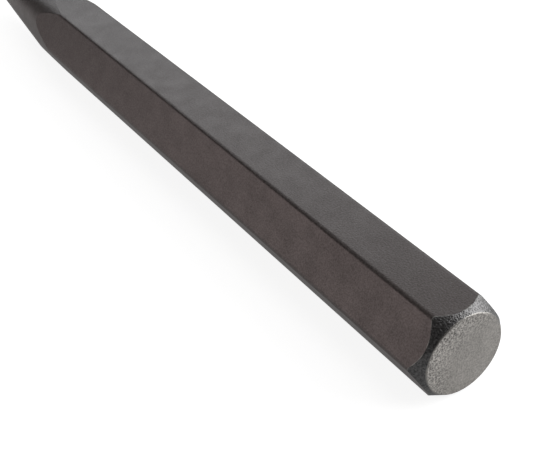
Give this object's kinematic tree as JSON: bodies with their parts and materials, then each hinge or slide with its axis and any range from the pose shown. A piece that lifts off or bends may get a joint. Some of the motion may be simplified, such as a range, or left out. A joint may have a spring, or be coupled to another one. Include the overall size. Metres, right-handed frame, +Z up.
{
  "type": "center punch",
  "caption": "Solid hexagon-bar center punch with a flat chamfered striking end and a turned taper to a ground conical point.",
  "frame": {"origin": "on the ground under the middle of the punch's length, as it lies on one flat", "axes": "+X along the punch from the struck face to the point, +Z up out of the top flat"},
  "size_m": [0.1524, 0.0144, 0.0127],
  "materials": {
    "black_oxide_steel": "fine blasted black oxide, brown-grey and matt, with a lighter struck face and a bright ground point"
  },
  "bodies": {
    "root": {"punch_body": "black_oxide_steel"}
  },
  "joints": []
}
